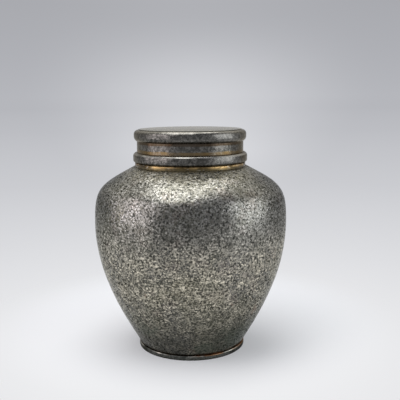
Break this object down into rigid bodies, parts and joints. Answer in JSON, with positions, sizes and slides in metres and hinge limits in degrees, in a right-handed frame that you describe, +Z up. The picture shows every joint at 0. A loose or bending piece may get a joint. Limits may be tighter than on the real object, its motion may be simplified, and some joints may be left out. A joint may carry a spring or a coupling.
{
  "type": "tea caddy",
  "caption": "Wide-shouldered turned metal tea jar on a foot ring, with a plugging inner lid and a deep overlapping cap.",
  "frame": {"origin": "centre of the foot ring's resting face, on the surface the jar stands on", "axes": "+Z up along the axis of revolution; the jar is round, so +X and +Y are free"},
  "size_m": [0.148, 0.148, 0.17],
  "materials": {
    "mottled_tin": "aged, stone-grained mottle, satin",
    "dark_tin": "aged, finely turned, satin",
    "golden_tin": "golden-brown patina, satin",
    "foot_tin": "worn, turned, satin",
    "bright_tin": "lathe-turned, soft bright"
  },
  "bodies": {
    "jar": {"foot_ring": "foot_tin", "base_plate": "mottled_tin", "lower_bowl": "mottled_tin", "shoulder": "mottled_tin", "seat_ring": "golden_tin", "neck_collar": "bright_tin"},
    "inner_lid": {"inner_lid_plate": "bright_tin", "inner_lid_plug": "bright_tin", "inner_lid_knob": "bright_tin", "knob_rove": "bright_tin"},
    "cap": {"cap_top": "dark_tin", "cap_skirt": "dark_tin", "cap_bead": "dark_tin"}
  },
  "joints": [
    {"name": "inner_lid_lift", "type": "slide", "parent": "jar", "child": "inner_lid", "axis": [0, 0, 1], "range_m": [0, 0.04]},
    {"name": "cap_lift", "type": "slide", "parent": "inner_lid", "child": "cap", "axis": [0, 0, 1], "range_m": [0, 0.06]}
  ]
}
